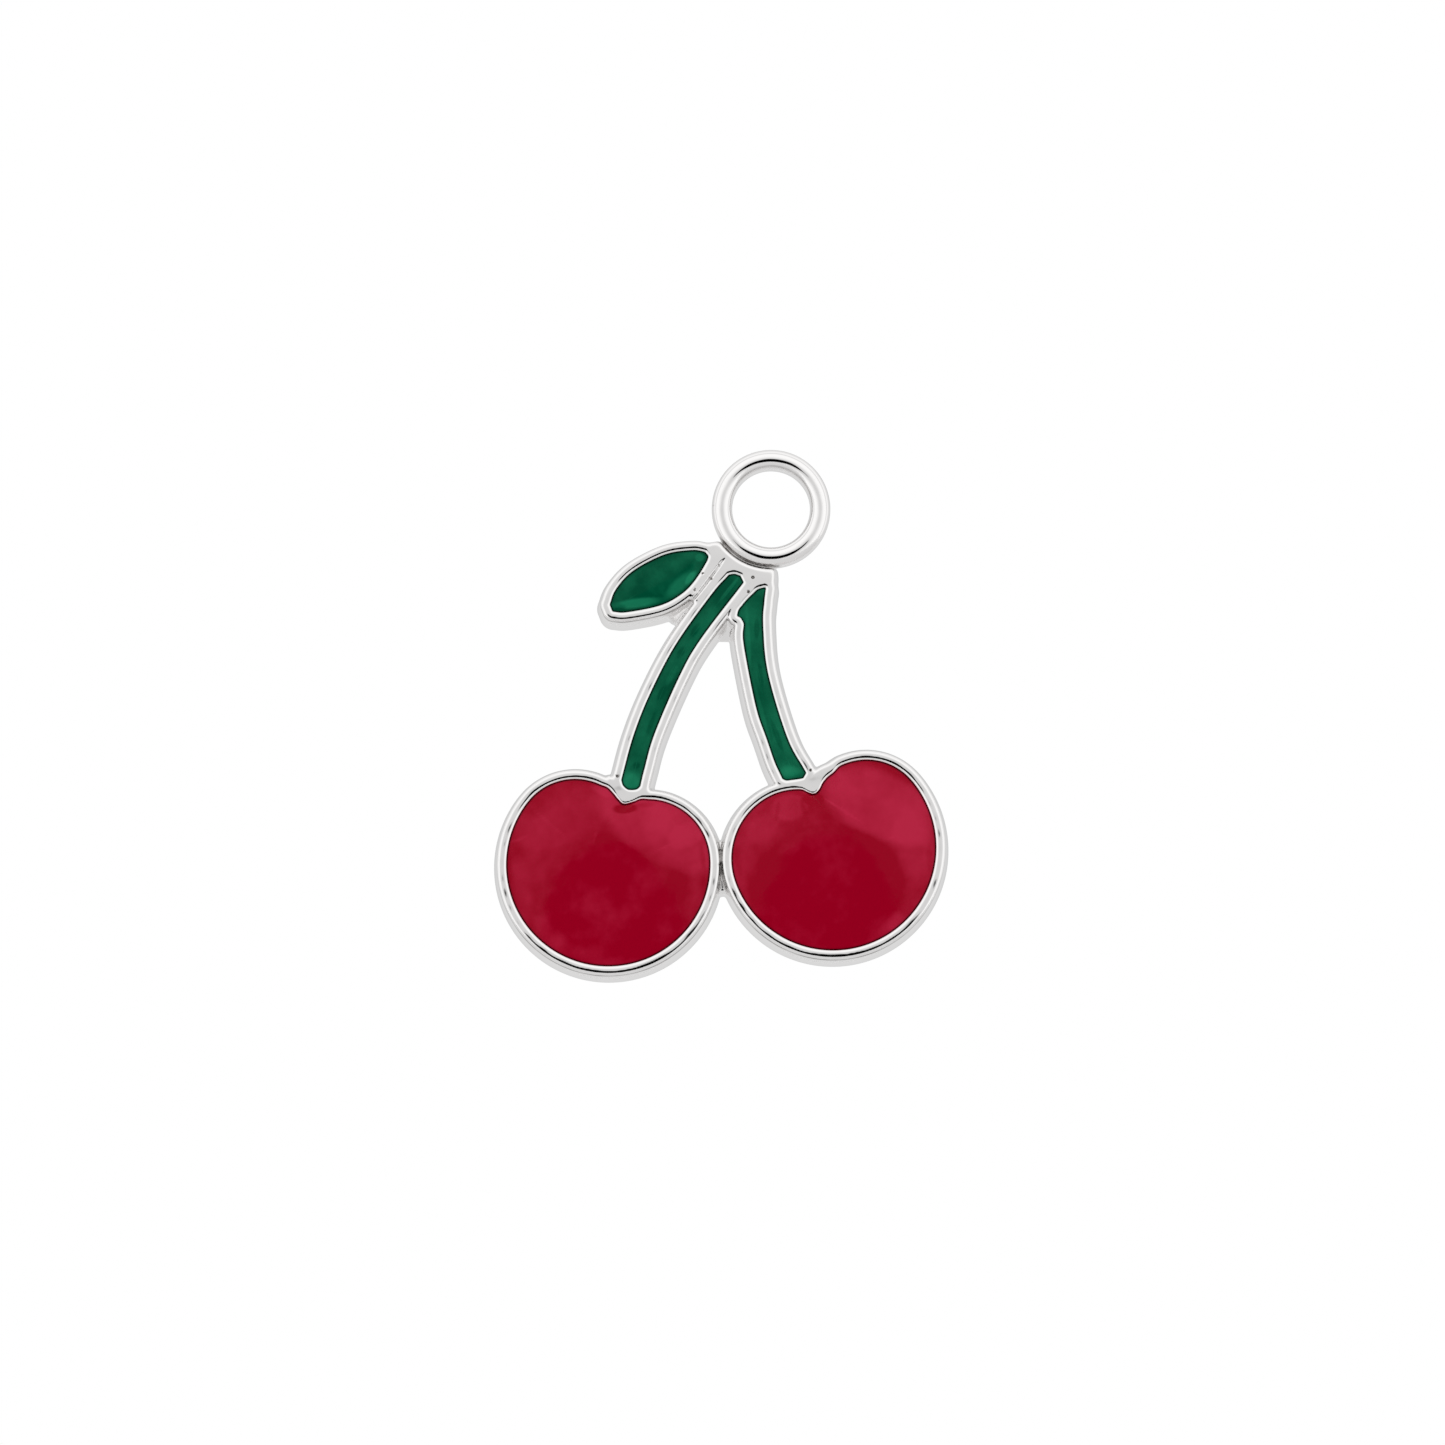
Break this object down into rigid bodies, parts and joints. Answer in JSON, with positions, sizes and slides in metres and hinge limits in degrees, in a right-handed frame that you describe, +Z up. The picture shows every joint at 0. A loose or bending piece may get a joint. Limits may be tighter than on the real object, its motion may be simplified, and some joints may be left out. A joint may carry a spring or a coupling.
{
  "type": "enamel cherry charm",
  "caption": "Cast metal charm shaped as cherries on stalks with a leaf, filled with coloured enamel, with a ring to hang it by.",
  "frame": {"origin": "middle of the ring's eye, half way between the rims' crests and the flat back", "axes": "+Z up as the charm is worn, +X to the wearer's left across the face, -Y out of the enamelled face, +Y out of the flat back, along the eye's axis"},
  "size_m": [0.0191, 0.0022, 0.0222],
  "materials": {
    "plated_metal": "polished white-metal plating over a casting, with soft tool marks and a few pits",
    "red_enamel": "translucent cherry-red enamel, glossy and gently domed",
    "green_enamel": "translucent leaf-green enamel, glossy, with slightly cloudy streaks"
  },
  "bodies": {
    "root": {"cast_frame": "plated_metal", "enamel_cherry_left": "red_enamel", "enamel_cherry_right": "red_enamel", "enamel_leaf": "green_enamel", "enamel_stalk_left": "green_enamel", "enamel_stalk_right": "green_enamel"}
  },
  "joints": []
}
